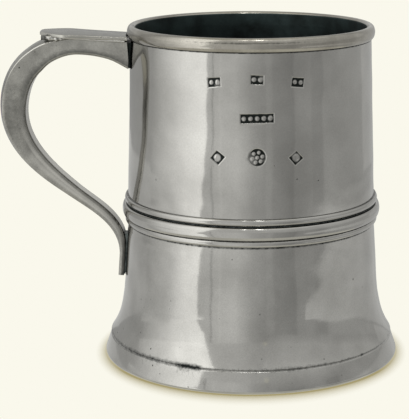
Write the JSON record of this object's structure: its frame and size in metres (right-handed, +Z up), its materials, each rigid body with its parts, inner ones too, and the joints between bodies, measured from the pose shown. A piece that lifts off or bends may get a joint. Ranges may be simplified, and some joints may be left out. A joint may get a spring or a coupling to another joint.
{
  "type": "tankard",
  "caption": "Pewter drinking tankard: tapered drum lapped under a moulded girdle, rounded lip, flared moulded foot, let-in base and a scrolled strap handle with a spoon-shaped thumb rest.",
  "frame": {"origin": "on the surface that the foot stands on, under the middle of the whole part, handle included", "axes": "+X from the handle towards the drum, +Y across the handle, +Z up along the drum's axis"},
  "size_m": [0.1388, 0.1036, 0.1165],
  "materials": {
    "pewter": "turned and polished pewter with a soft grey patina",
    "cast_pewter": "cast and filed pewter, duller than the drum",
    "dark_solder": "oxidised solder, nearly black"
  },
  "bodies": {
    "root": {"lip_ring": "pewter", "upper_drum": "pewter", "girdle_upper_reed": "pewter", "girdle_solder_seam": "dark_solder", "girdle_bead": "pewter", "girdle_lower_reed": "pewter", "lower_drum": "pewter", "foot_solder_seam": "dark_solder", "foot_ring": "pewter", "base_disc": "pewter", "base_solder_fillet": "dark_solder", "handle_strap": "cast_pewter", "thumb_rest": "cast_pewter", "upper_handle_solder": "dark_solder", "lower_handle_solder": "dark_solder"}
  },
  "joints": []
}
